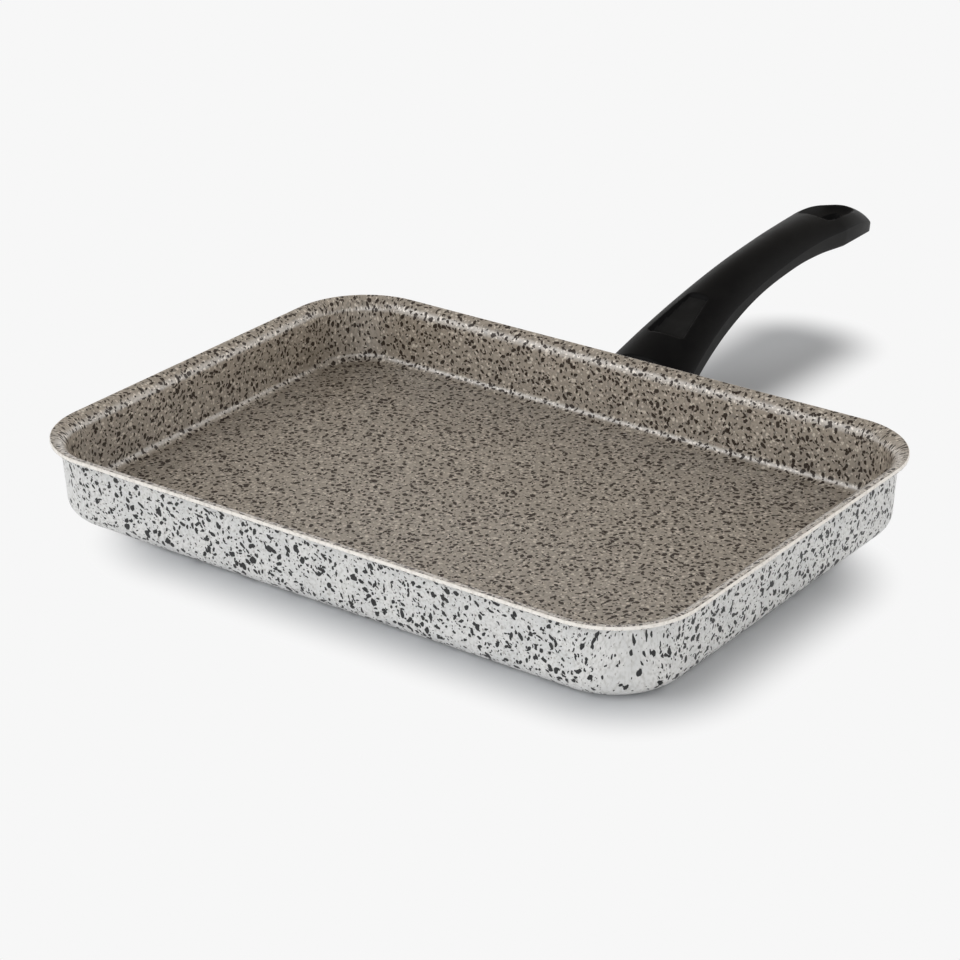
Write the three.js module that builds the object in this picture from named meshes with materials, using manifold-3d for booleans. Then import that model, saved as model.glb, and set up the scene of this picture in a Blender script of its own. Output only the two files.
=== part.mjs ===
// Rectangular grill pan with a flat floor and one fixed handle, in millimetres.
// X runs along the long side, +Y points to the handle, +Z is up, and the origin is under the base's middle.
import * as THREE from 'three';
import { mergeVertices } from 'three/addons/utils/BufferGeometryUtils.js';
import Module from 'manifold-3d';

const wasm = await Module();
wasm.setup();

// Pan shell
const PAN_WIDTH = 360; // over the lip, along X
const PAN_DEPTH = 255; // over the lip, along Y
const PAN_HEIGHT = 39.5;
const CORNER_RADIUS = 42; // of the lip, seen from above
const WALL_THICKNESS = 3;
const FLOOR_THICKNESS = 5.5;
const WALL_TAPER = 1.2; // how much further in the wall stands at its foot than under the lip
const BASE_FILLET = 10; // outer round between base and wall
const FLOOR_FILLET = 4.5; // inner round between floor and wall
const LIP_OVERHANG = 5.2; // lip edge to the wall under it
const LIP_DROP = 7; // lip top to where the wall starts
const LIP_EDGE = 2; // height of the lip's cut edge

// Handle boss, welded behind the back wall, and its threaded bush
const NECK_WIDTH = 20;
const NECK_HEIGHT = 12;
const NECK_LENGTH = 7; // past the boss shoulder
const SHOULDER_SIDE = 5; // boss past the neck, left and right
const SHOULDER_TOP = 1.5; // boss past the neck, above and below
const BOSS_ROUND = 2.5;
const INSERT_WALL = 0.95;
const INSERT_LENGTH = 14;

// Flame guard, a thin cup between wall and handle
const GUARD_LENGTH = 22; // wall to the cup's outer face, along the boss axis
const GUARD_SIDE_SPACE = 4.2; // air beside the boss
const GUARD_TOP_SPACE = 1.2; // air over and under the boss
const GUARD_ROUND = 6;
const GUARD_SHEET = 0.8;
const GUARD_DROP = 1; // foot of the lip's bend to the guard's top

// Handle screw and washers
const SCREW_DIAMETER = 5;
const SCREW_LENGTH = 25; // under the head
const HEAD_DIAMETER = 9;
const HEAD_HEIGHT = 3.4;
const RECESS_SPAN = 4.6;
const RECESS_SLOT = 1.1;
const RECESS_DEPTH = 1.6;
const WASHER_DIAMETER = 10;
const WASHER_THICKNESS = 1;
const LOCK_DIAMETER = 8.6;
const LOCK_THICKNESS = 1.2;
const LOCK_SPLIT = 1; // width of the cut through the ring
const SEAT_WALL = 8; // moulding left between the boss neck and the washer seat

// Handle, measured at its waist
const HANDLE_LENGTH = 222;
const HANDLE_RISE = 38.5; // boss axis to the crest
const GRIP_WIDTH = 31.4;
const GRIP_THICKNESS = 18;
// Sections along the handle, as shares of GRIP_WIDTH for width, HANDLE_RISE for rise and GRIP_THICKNESS for
// the three layers. The crease is how far short of upright the top meets the sides, in degrees.
const HANDLE_STATIONS = [
  { share: 0, width: 1.63, rise: 0.305, dome: 0.67, side: 0.51, belly: 0.2, crease: 18 },
  { share: 0.12, width: 1.35, rise: 0.57, dome: 0.6, side: 0.46, belly: 0.22, crease: 26 },
  { share: 0.25, width: 1.13, rise: 0.789, dome: 0.543, side: 0.43, belly: 0.22, crease: 34 },
  { share: 0.4, width: 1.025, rise: 0.96, dome: 0.56, side: 0.29, belly: 0.25, crease: 34 },
  { share: 0.57, width: 1, rise: 1.049, dome: 0.5, side: 0.3, belly: 0.25, crease: 34 },
  { share: 0.68, width: 1.04, rise: 1.064, dome: 0.446, side: 0.373, belly: 0.25, crease: 34 },
  { share: 0.78, width: 1.155, rise: 1.051, dome: 0.417, side: 0.457, belly: 0.25, crease: 34 },
];
const NOSE_HEIGHT = 11.4; // tip of the handle over the boss axis
const SIDE_DRAFT = 0.8;
const THUMB_REST = { from: 21, to: 51, rootWidth: 18.8, tailWidth: 10.4, rootDepth: 4.2, tailDepth: 2 };
const HANG_HOLE = { fromTip: 38, halfX: 5, halfY: 10 };
const HANG_DISH = { halfX: 11.8, halfY: 19.5, depth: 9 };
const DISH_SQUARENESS = 4.5; // 2 gives an ellipse, more a squarer outline

// Gaps and fineness
const CLEARANCE = 0.3; // where a piece follows or surrounds its neighbour
const CORNER_STEPS = 8;
const ARC_STEPS = 6;
const DOME_STEPS = 16;
const UNDER_STEPS = 8;
const HANDLE_STEPS = 30;
const NOSE_STEPS = 8;
const NOSE_END = 0.95; // share of the nose's quarter turn where its last ring lies
const DISH_END = 0.9; // the same for the dish's lowest ring
const ROUND_STEPS = 24;
const MERGE_DISTANCE = 1e-4;

// Places worked out from the sizes
const wallTop = PAN_HEIGHT - LIP_DROP;
const wallFoot = LIP_OVERHANG + WALL_TAPER;
const wallY = (z) => PAN_DEPTH / 2 - LIP_OVERHANG - (WALL_TAPER * (wallTop - z)) / (wallTop - BASE_FILLET);
const bossWidth = NECK_WIDTH + 2 * SHOULDER_SIDE;
const bossHeight = NECK_HEIGHT + 2 * SHOULDER_TOP;
const guardInside = { x: bossWidth + 2 * GUARD_SIDE_SPACE, z: bossHeight + 2 * GUARD_TOP_SPACE };
const bossZ = wallTop - GUARD_DROP - GUARD_SHEET - guardInside.z / 2;
const guardFaceY = wallY(bossZ) + GUARD_LENGTH;
const shoulderY = guardFaceY - GUARD_SHEET;
const neckEndY = shoulderY + NECK_LENGTH;
const seatY = neckEndY + CLEARANCE + SEAT_WALL;
const headY = seatY + WASHER_THICKNESS + LOCK_THICKNESS;
const screwEndY = headY - SCREW_LENGTH;
const screwHole = SCREW_DIAMETER + 2 * CLEARANCE;
const insertDiameter = screwHole + 2 * INSERT_WALL;
const tunnelDiameter = Math.max(WASHER_DIAMETER, LOCK_DIAMETER, HEAD_DIAMETER) + 2 * CLEARANCE;
const noseShare = HANDLE_STATIONS.at(-1).share;
const cutReach = HANDLE_LENGTH; // long enough for a cutting tool to pass right through any piece

// Points of an ellipse's arc as [x, y] pairs.
function arc(centreX, centreY, radiusX, radiusY, from, to, steps) {
  return Array.from({ length: steps + 1 }, (_, step) => {
    const angle = from + ((to - from) * step) / steps;
    return [centreX + radiusX * Math.cos(angle), centreY + radiusY * Math.sin(angle)];
  });
}

// A rounded rectangle about the origin, counter-clockwise, as [x, y] pairs.
function roundedRectangle(width, depth, radius, steps) {
  const quarter = Math.PI / 2;
  const [x, y] = [width / 2 - radius, depth / 2 - radius];
  const centres = [[x, y], [-x, y], [-x, -y], [x, -y]];
  return centres.flatMap(([cx, cy], corner) =>
    arc(cx, cy, radius, radius, corner * quarter, (corner + 1) * quarter, steps));
}

// Skins a row of equal rings. A loop joins its last ring to the first, an open row gets a fan on each end.
function skin(rings, loop = false) {
  const size = rings[0].length;
  const positions = rings.flat(2);
  const index = [];
  const spans = loop ? rings.length : rings.length - 1;
  for (let ring = 0; ring < spans; ring += 1) {
    const near = ring * size;
    const far = ((ring + 1) % rings.length) * size;
    for (let i = 0; i < size; i += 1) {
      const j = (i + 1) % size;
      index.push(near + i, near + j, far + j, near + i, far + j, far + i);
    }
  }
  if (!loop) {
    const last = (rings.length - 1) * size;
    const centre = positions.length / 3;
    positions.push(...middle(rings[0]), ...middle(rings.at(-1)));
    for (let i = 0; i < size; i += 1) {
      const j = (i + 1) % size;
      index.push(centre, j, i, centre + 1, last + i, last + j);
    }
  }
  const geometry = new THREE.BufferGeometry();
  geometry.setAttribute('position', new THREE.Float32BufferAttribute(positions, 3));
  geometry.setIndex(index);
  return geometry;
}

// The mean point of a ring.
function middle(ring) {
  return [0, 1, 2].map((axis) => ring.reduce((sum, point) => sum + point[axis], 0) / ring.length);
}

// Stands a counter-clockwise outline up across Y, about the boss axis. depthAt turns a height into a Y.
function ringAcrossY(outline, depthAt) {
  return outline.map(([x, z]) => [-x, depthAt(bossZ + z), bossZ + z]);
}

// The neck's outline with room round it, for the holes that it goes through.
function neckOutline(room = 0) {
  return roundedRectangle(NECK_WIDTH + 2 * room, NECK_HEIGHT + 2 * room, BOSS_ROUND + room, ARC_STEPS);
}

function toSolid(geometry) {
  const bare = geometry.clone();
  bare.deleteAttribute('normal');
  bare.deleteAttribute('uv');
  const merged = mergeVertices(bare, MERGE_DISTANCE);
  return new wasm.Manifold(new wasm.Mesh({
    numProp: 3,
    vertProperties: Float32Array.from(merged.attributes.position.array),
    triVerts: Uint32Array.from(merged.index.array),
  }));
}

function toGeometry(solid) {
  const mesh = solid.getMesh();
  const geometry = new THREE.BufferGeometry();
  geometry.setAttribute('position', new THREE.BufferAttribute(mesh.vertProperties, 3));
  geometry.setIndex(new THREE.BufferAttribute(mesh.triVerts, 1));
  return geometry;
}

// Takes every tool away from a body.
function cut(body, tools) {
  return toGeometry(tools.reduce((solid, tool) => solid.subtract(toSolid(tool)), toSolid(body)));
}

// A round bar along Y on the boss axis.
function barAlongY(diameter, fromY, toY) {
  const bar = new THREE.CylinderGeometry(diameter / 2, diameter / 2, toY - fromY, ROUND_STEPS);
  return bar.translate(0, (fromY + toY) / 2, bossZ);
}

// The pan's section from the base, up the wall, over the lip and down to the floor, as [inset, height] pairs.
function panSection() {
  const quarter = Math.PI / 2;
  const innerFoot = wallFoot + WALL_THICKNESS;
  const innerTop = LIP_OVERHANG + WALL_THICKNESS;
  return [
    ...arc(wallFoot + BASE_FILLET, BASE_FILLET, -BASE_FILLET, -BASE_FILLET, quarter, 0, ARC_STEPS),
    ...arc(0, wallTop, LIP_OVERHANG, LIP_DROP - LIP_EDGE, 0, quarter, ARC_STEPS),
    ...arc(0, wallTop, innerTop, LIP_DROP, quarter, 0, ARC_STEPS),
    ...arc(innerFoot + FLOOR_FILLET, FLOOR_THICKNESS + FLOOR_FILLET, -FLOOR_FILLET, -FLOOR_FILLET, 0, quarter,
      ARC_STEPS),
  ];
}

function panBody() {
  return skin(panSection().map(([inset, z]) =>
    roundedRectangle(PAN_WIDTH - 2 * inset, PAN_DEPTH - 2 * inset, CORNER_RADIUS - inset, CORNER_STEPS)
      .map(([x, y]) => [x, y, z])));
}

function handleBoss() {
  const body = roundedRectangle(bossWidth, bossHeight, BOSS_ROUND, ARC_STEPS);
  const block = skin([
    ringAcrossY(body, (z) => wallY(z) + CLEARANCE),
    ringAcrossY(body, () => shoulderY),
    ringAcrossY(neckOutline(), () => shoulderY),
    ringAcrossY(neckOutline(), () => neckEndY),
  ]);
  const boreEndY = Math.min(neckEndY - INSERT_LENGTH, screwEndY) - CLEARANCE;
  return cut(block, [barAlongY(insertDiameter + 2 * CLEARANCE, boreEndY, neckEndY + cutReach)]);
}

function threadInsert() {
  const bush = barAlongY(insertDiameter, neckEndY - INSERT_LENGTH, neckEndY);
  return cut(bush, [barAlongY(screwHole, neckEndY - cutReach, neckEndY + cutReach)]);
}

function flameGuard() {
  const { x, z } = guardInside;
  const inside = roundedRectangle(x, z, GUARD_ROUND - GUARD_SHEET, ARC_STEPS);
  const outside = roundedRectangle(x + 2 * GUARD_SHEET, z + 2 * GUARD_SHEET, GUARD_ROUND, ARC_STEPS);
  const hole = neckOutline(CLEARANCE);
  const atWall = (height) => wallY(height) + CLEARANCE;
  return skin([
    ringAcrossY(outside, atWall),
    ringAcrossY(outside, () => guardFaceY),
    ringAcrossY(hole, () => guardFaceY),
    ringAcrossY(hole, () => shoulderY),
    ringAcrossY(inside, () => shoulderY),
    ringAcrossY(inside, atWall),
  ], true);
}

// Smooth value of one station measure at a share of the length, held past the last station.
function stationValue(name, share) {
  const last = HANDLE_STATIONS.length - 1;
  const station = (i) => HANDLE_STATIONS[THREE.MathUtils.clamp(i, 0, last)];
  const slope = (i) => {
    const [before, after] = [station(i - 1), station(i + 1)];
    return (after[name] - before[name]) / (after.share - before.share);
  };
  const found = HANDLE_STATIONS.findIndex((each) => each.share >= share);
  const upper = found < 0 ? last : Math.max(found, 1);
  const [a, b] = [station(upper - 1), station(upper)];
  const span = b.share - a.share;
  const u = THREE.MathUtils.clamp((share - a.share) / span, 0, 1);
  const [u2, u3] = [u ** 2, u ** 3];
  return (2 * u3 - 3 * u2 + 1) * a[name] + (u3 - 2 * u2 + u) * span * slope(upper - 1)
    + (3 * u2 - 2 * u3) * b[name] + (u3 - u2) * span * slope(upper);
}

// Height of the handle's crest over the boss axis at a distance from its root.
function crestAt(distance) {
  return HANDLE_RISE * stationValue('rise', distance / HANDLE_LENGTH);
}

// One section across the handle: a dome, straight sides and a rounded underside, drawn in on the nose.
function handleRing(share) {
  const half = (GRIP_WIDTH / 2) * stationValue('width', share);
  const [dome, side, belly] = ['dome', 'side', 'belly']
    .map((layer) => GRIP_THICKNESS * stationValue(layer, share));
  const edgeZ = crestAt(share * HANDLE_LENGTH) - dome;
  const crease = THREE.MathUtils.degToRad(stationValue('crease', share));
  const arch = { x: half / Math.cos(crease), z: dome / (1 - Math.sin(crease)) }; // the ellipse that tops it
  const draw = Math.sqrt(1 - Math.max(0, (share - noseShare) / (1 - noseShare)) ** 2);
  const outline = [
    ...arc(0, edgeZ + dome - arch.z, arch.x, arch.z, crease, Math.PI - crease, DOME_STEPS),
    ...arc(0, edgeZ - side, half - SIDE_DRAFT, belly, Math.PI, 2 * Math.PI, UNDER_STEPS),
  ].map(([x, z]) => [x * draw, NOSE_HEIGHT + (z - NOSE_HEIGHT) * draw]);
  return ringAcrossY(outline, () => guardFaceY + share * HANDLE_LENGTH);
}

function thumbRestTool() {
  const { from, to, rootWidth, tailWidth, rootDepth, tailDepth } = THUMB_REST;
  const [rootZ, tailZ] = [crestAt(from) - rootDepth, crestAt(to) - tailDepth];
  const tilt = Math.atan2(tailZ - rootZ, to - from);
  const reach = (to - from) / Math.cos(tilt);
  const outline = new THREE.Shape([
    new THREE.Vector2(-rootWidth / 2, 0),
    new THREE.Vector2(rootWidth / 2, 0),
    new THREE.Vector2(tailWidth / 2, reach),
    new THREE.Vector2(-tailWidth / 2, reach),
  ]);
  const tool = new THREE.ExtrudeGeometry(outline, { depth: cutReach, bevelEnabled: false });
  return tool.rotateX(tilt).translate(0, guardFaceY + from, bossZ + rootZ);
}

// The dish's outline at a share of its full size, at a height over the crest.
function dishRing(size, z) {
  const squared = (value) => Math.sign(value) * Math.abs(value) ** (2 / DISH_SQUARENESS);
  return arc(0, 0, 1, 1, 0, 2 * Math.PI, ROUND_STEPS).slice(0, -1)
    .map(([x, y]) => [size * HANG_DISH.halfX * squared(x), size * HANG_DISH.halfY * squared(y), z]);
}

function hangHoleTools() {
  const at = HANDLE_LENGTH - HANG_HOLE.fromTip;
  const hole = new THREE.CylinderGeometry(1, 1, 2 * cutReach, ROUND_STEPS);
  hole.rotateX(Math.PI / 2).scale(HANG_HOLE.halfX, HANG_HOLE.halfY, 1);
  const bowl = arc(0, 0, 1, HANG_DISH.depth, -DISH_END * (Math.PI / 2), 0, ARC_STEPS);
  const dish = skin([...bowl.map(([size, z]) => dishRing(size, z)), dishRing(1, cutReach)]);
  return [hole, dish].map((tool) => tool.translate(0, guardFaceY + at, bossZ + crestAt(at)));
}

function handleGrip() {
  const bodyShares = Array.from({ length: HANDLE_STEPS + 1 }, (_, step) => (noseShare * step) / HANDLE_STEPS);
  const noseShares = Array.from({ length: NOSE_STEPS }, (_, step) => {
    const angle = (Math.PI / 2) * NOSE_END * ((step + 1) / NOSE_STEPS);
    return noseShare + (1 - noseShare) * Math.sin(angle);
  });
  const socketTool = skin([
    ringAcrossY(neckOutline(CLEARANCE), () => guardFaceY - cutReach),
    ringAcrossY(neckOutline(CLEARANCE), () => neckEndY + CLEARANCE),
  ]);
  return cut(skin([...bodyShares, ...noseShares].map(handleRing)), [
    socketTool,
    barAlongY(screwHole, guardFaceY, seatY + cutReach),
    barAlongY(tunnelDiameter, seatY, seatY + cutReach),
    thumbRestTool(),
    ...hangHoleTools(),
  ]);
}

function handleScrew() {
  const shank = SCREW_DIAMETER / 2;
  const head = HEAD_DIAMETER / 2;
  const dome = arc(0, headY + HEAD_HEIGHT / 2, head, HEAD_HEIGHT / 2, 0, Math.PI / 2, ARC_STEPS).slice(0, -1);
  const profile = [
    [0, screwEndY],
    [shank, screwEndY],
    [shank, headY],
    [head, headY],
    ...dome,
    [0, headY + HEAD_HEIGHT],
  ];
  const screw = new THREE.LatheGeometry(profile.map(([r, y]) => new THREE.Vector2(r, y)), ROUND_STEPS);
  const slots = [[RECESS_SPAN, RECESS_SLOT], [RECESS_SLOT, RECESS_SPAN]].map(([x, z]) =>
    new THREE.BoxGeometry(x, 2 * RECESS_DEPTH, z).translate(0, headY + HEAD_HEIGHT, 0));
  return cut(screw, slots).translate(0, 0, bossZ);
}

function flatWasher() {
  const disc = barAlongY(WASHER_DIAMETER, seatY, seatY + WASHER_THICKNESS);
  return cut(disc, [barAlongY(screwHole, seatY - cutReach, seatY + cutReach)]);
}

function lockWasher() {
  const disc = barAlongY(LOCK_DIAMETER, headY - LOCK_THICKNESS, headY);
  const split = new THREE.BoxGeometry(LOCK_SPLIT, cutReach, LOCK_DIAMETER);
  split.translate(0, headY, bossZ + LOCK_DIAMETER / 2);
  return cut(disc, [barAlongY(screwHole, headY - cutReach, headY + cutReach), split]);
}

function addPiece(group, name, geometry, color, roughness, metalness) {
  const flat = geometry.index ? geometry.toNonIndexed() : geometry;
  flat.computeVertexNormals();
  const mesh = new THREE.Mesh(flat, new THREE.MeshStandardMaterial({ color, roughness, metalness }));
  mesh.name = name;
  group.add(mesh);
}

const grillPan = new THREE.Group();
grillPan.name = 'grill_pan';
addPiece(grillPan, 'pan_body', panBody(), 0xb9b3aa, 0.5, 0.1);
addPiece(grillPan, 'handle_boss', handleBoss(), 0xc4c4c2, 0.45, 1);
addPiece(grillPan, 'thread_insert', threadInsert(), 0x9c9a94, 0.4, 1);
addPiece(grillPan, 'flame_guard', flameGuard(), 0x8d8f91, 0.35, 1);
addPiece(grillPan, 'handle_grip', handleGrip(), 0x1d1d1e, 0.45, 0);
addPiece(grillPan, 'handle_screw', handleScrew(), 0xa2a4a6, 0.35, 1);
addPiece(grillPan, 'flat_washer', flatWasher(), 0xa9abac, 0.35, 1);
addPiece(grillPan, 'lock_washer', lockWasher(), 0x8a8b8d, 0.4, 1);

export default grillPan;
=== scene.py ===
"""Looks of a rectangular grill pan with a flat floor and one fixed handle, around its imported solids.

Lengths are in metres. X runs along the long side, +Y points to the handle and +Z is up. The origin lies
under the middle of the base.
"""

import logging
import math
from dataclasses import dataclass, field
from enum import Enum
from functools import reduce
from operator import mul
from typing import Any, Callable, NamedTuple, Sequence, Union

import bmesh
import bpy
from mathutils import Matrix, Vector


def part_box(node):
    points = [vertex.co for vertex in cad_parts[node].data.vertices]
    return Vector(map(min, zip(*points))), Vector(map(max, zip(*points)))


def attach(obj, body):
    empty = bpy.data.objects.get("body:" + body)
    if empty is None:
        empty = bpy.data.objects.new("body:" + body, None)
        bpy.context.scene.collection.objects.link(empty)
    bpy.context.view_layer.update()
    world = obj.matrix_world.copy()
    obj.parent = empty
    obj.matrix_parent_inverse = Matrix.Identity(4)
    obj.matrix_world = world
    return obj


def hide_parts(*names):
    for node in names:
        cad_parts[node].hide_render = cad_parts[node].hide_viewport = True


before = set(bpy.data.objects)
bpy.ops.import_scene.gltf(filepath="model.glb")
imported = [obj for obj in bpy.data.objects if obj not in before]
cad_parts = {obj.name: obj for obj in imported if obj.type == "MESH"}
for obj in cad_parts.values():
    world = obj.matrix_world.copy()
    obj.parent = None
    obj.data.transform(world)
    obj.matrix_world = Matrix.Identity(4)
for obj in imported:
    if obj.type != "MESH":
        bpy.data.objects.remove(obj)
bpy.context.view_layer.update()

log = logging.getLogger("grill_pan")

Colour = tuple[float, float, float, float]
Pair = tuple[float, float]
Triple = tuple[float, float, float]
Ring = list[Vector]
Outline = list[Pair]
Level = tuple[Outline, float]  # an outline and the Y that it stands at
Value = Union["Wire", float]
ROOT_BODY = "root"
SHEET_PLACE = "sheet_place"  # the mesh attribute that holds where a point lay on the flat sheet
QUARTER = math.pi / 2
CREASE = math.radians(38)  # edges that bend by more than this stay sharp
THREAD_GAIN = 1.4  # over 1, so that a thread's crest and core each have a flat


def srgb(red: int, green: int, blue: int) -> Colour:
    """Turns a colour as seen on a screen, 0 to 255, into the shader's linear one.

    Args:
        red: The red level.
        green: The green level.
        blue: The blue level.

    Returns:
        The linear colour with full alpha.
    """
    def linear(level: int) -> float:
        """One channel of it."""
        share = level / 255
        return share / 12.92 if share <= 0.04045 else ((share + 0.055) / 1.055) ** 2.4

    return (linear(red), linear(green), linear(blue), 1.0)


def clamped(value: float) -> float:
    """The value, held between 0 and 1."""
    return min(1.0, max(0.0, value))


def lower_of(first: float, second: float, rounding: float) -> float:
    """The lower of two heights, rounded off where they lie closer together than the rounding."""
    share = clamped(0.5 + 0.5 * (second - first) / rounding)
    return second + (first - second) * share - rounding * share * (1 - share)


def arc(centre: Pair, radii: Pair, turn: Pair, steps: int) -> Outline:
    """Points along an ellipse's arc.

    Args:
        centre: The ellipse's centre.
        radii: Its two half-axes. A negative one mirrors the arc.
        turn: First and last angle, in radians.
        steps: How many stretches the arc has.

    Returns:
        steps + 1 points.
    """
    first, last = turn
    angles = [first + (last - first) * step / steps for step in range(steps + 1)]
    return [(centre[0] + radii[0] * math.cos(a), centre[1] + radii[1] * math.sin(a)) for a in angles]


def rounded_rectangle(width: float, depth: float, radius: float, steps: int) -> Outline:
    """A rounded rectangle about the origin, counter-clockwise.

    Args:
        width: Its size along the first axis.
        depth: Its size along the second axis.
        radius: Its corner radius.
        steps: Stretches in each corner.

    Returns:
        4 * (steps + 1) points.
    """
    x, y = width / 2 - radius, depth / 2 - radius
    points: Outline = []
    for corner, centre in enumerate([(x, y), (-x, y), (-x, -y), (x, -y)]):
        points += arc(centre, (radius, radius), (corner * QUARTER, (corner + 1) * QUARTER), steps)
    return points


def circle(radius: float, steps: int) -> Outline:
    """Points of a circle about the origin, counter-clockwise from half a step past the first axis."""
    angles = [2 * math.pi * (step + 0.5) / steps for step in range(steps)]
    return [(radius * math.cos(angle), radius * math.sin(angle)) for angle in angles]


def thread(crest: float, core: float, turns: float, steps: int) -> Outline:
    """The section of a screw thread, a circle whose radius swings once from core to crest.

    Args:
        crest: The radius on the thread's crest.
        core: The radius between the crests.
        turns: How far along the screw the section lies, in turns of the thread.
        steps: How many points it has.

    Returns:
        The points.
    """
    points: Outline = []
    for x, y in circle(1.0, steps):
        phase = (turns - math.atan2(y, x) / (2 * math.pi)) % 1
        swing = clamped(THREAD_GAIN * (1 - abs(2 * phase - 1)) - (THREAD_GAIN - 1) / 2)
        radius = core + (crest - core) * swing
        points.append((radius * x, radius * y))
    return points


def towards(azimuth: float, elevation: float) -> Vector:
    """The direction at an azimuth, 0 in front and 90 to the right, and an elevation, in degrees."""
    turn, lift = math.radians(azimuth), math.radians(elevation)
    return Vector((math.sin(turn) * math.cos(lift), -math.cos(turn) * math.cos(lift), math.sin(lift)))


class Made:
    """A shader node that has been added, whose outputs are fetched by name or number."""

    def __init__(self, tree: "FinishTree", node: bpy.types.Node) -> None:
        """Keeps the node and its tree."""
        self.tree = tree
        self.node = node

    def __getitem__(self, output: Union[str, int]) -> "Wire":
        """The output socket of that name or number."""
        return Wire(self.tree, self.node.outputs[output])


class Wire:
    """An output socket. Arithmetic on it adds Math nodes to its tree."""

    def __init__(self, tree: "FinishTree", socket: bpy.types.NodeSocket) -> None:
        """Keeps the socket and its tree."""
        self.tree = tree
        self.socket = socket

    def math(self, operation: str, left: Value, right: Value) -> "Wire":
        """Adds one Math node."""
        return self.tree.node("ShaderNodeMath", {"operation": operation}, {0: left, 1: right})[0]

    def __add__(self, other: Value) -> "Wire":
        """self + other."""
        return self.math("ADD", self, other)

    def __radd__(self, other: Value) -> "Wire":
        """other + self."""
        return self.math("ADD", other, self)

    def __sub__(self, other: Value) -> "Wire":
        """self - other."""
        return self.math("SUBTRACT", self, other)

    def __rsub__(self, other: Value) -> "Wire":
        """other - self."""
        return self.math("SUBTRACT", other, self)

    def __mul__(self, other: Value) -> "Wire":
        """self * other."""
        return self.math("MULTIPLY", self, other)

    def __rmul__(self, other: Value) -> "Wire":
        """other * self."""
        return self.math("MULTIPLY", other, self)

    def __lt__(self, other: Value) -> "Wire":
        """1 where self is less than other, else 0."""
        return self.math("LESS_THAN", self, other)

    def __gt__(self, other: Value) -> "Wire":
        """1 where self is more than other, else 0, which is also other < self."""
        return self.math("GREATER_THAN", self, other)

    def most(self, other: Value) -> "Wire":
        """The larger of the two."""
        return self.math("MAXIMUM", self, other)

    def least(self, other: Value) -> "Wire":
        """The smaller of the two."""
        return self.math("MINIMUM", self, other)

    def ramp(self, low: float, high: float) -> "Wire":
        """Eases from 0 where the value is low to 1 where it is high."""
        settings = {"interpolation_type": "SMOOTHSTEP"}
        return self.tree.node("ShaderNodeMapRange", settings, {"Value": self, 1: low, 2: high})[0]


class FinishTree:
    """The nodes of one material or of the world."""

    def __init__(self, owner: Union[bpy.types.Material, bpy.types.World]) -> None:
        """Starts with an empty tree.

        Args:
            owner: The material or the world.
        """
        owner.use_nodes = True
        self.tree = owner.node_tree
        self.tree.nodes.clear()

    def node(self, kind: str, settings: dict[str, Any], sockets: dict[Union[str, int], Any]) -> Made:
        """Adds any node.

        Args:
            kind: The node's type.
            settings: Its properties, set before its sockets.
            sockets: The value or the wire of each input, by name or number.

        Returns:
            The node that was added.
        """
        made = self.tree.nodes.new(kind)
        for name, setting in settings.items():
            setattr(made, name, setting)
        for name, given in sockets.items():
            if isinstance(given, Wire):
                self.tree.links.new(given.socket, made.inputs[name])
            else:
                made.inputs[name].default_value = given
        return Made(self, made)

    def mix(self, factor: Wire, under: Any, over: Any) -> Wire:
        """Lays the second colour over the first, as far as the factor says."""
        return self.node("ShaderNodeMix", {"data_type": "RGBA"}, {0: factor, 6: under, 7: over})[2]

    def vector(self, operation: str, left: Any, right: Any) -> Wire:
        """Adds one Vector Math node that gives a vector."""
        return self.node("ShaderNodeVectorMath", {"operation": operation}, {0: left, 1: right})[0]

    def length(self, given: Wire) -> Wire:
        """The length of a vector."""
        return self.node("ShaderNodeVectorMath", {"operation": "LENGTH"}, {0: given})["Value"]

    def parts(self, given: Wire) -> Made:
        """A node with the X, Y and Z of a vector."""
        return self.node("ShaderNodeSeparateXYZ", {}, {0: given})

    def sheet(self) -> Wire:
        """Where the shaded point lay on the flat sheet."""
        return self.node("ShaderNodeAttribute", {"attribute_name": SHEET_PLACE}, {})["Vector"]

    def place(self) -> Wire:
        """The shaded point in the part's own frame."""
        return self.node("ShaderNodeTexCoord", {}, {})["Object"]

    def noise(self, at: Wire, size: float, detail: float, flat: bool = False) -> Made:
        """A Noise Texture with blotches of a size, which reads only X and Y where it is flat."""
        inputs = {"Vector": at, "Scale": 1 / size, "Detail": detail}
        return self.node("ShaderNodeTexNoise", {"noise_dimensions": "2D" if flat else "3D"}, inputs)

    def bump(self, height: Wire, depth: float) -> Wire:
        """The normal, tilted by a pattern whose 1 stands that much higher than its 0."""
        return self.node("ShaderNodeBump", {}, {"Height": height, "Distance": depth})["Normal"]


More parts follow.
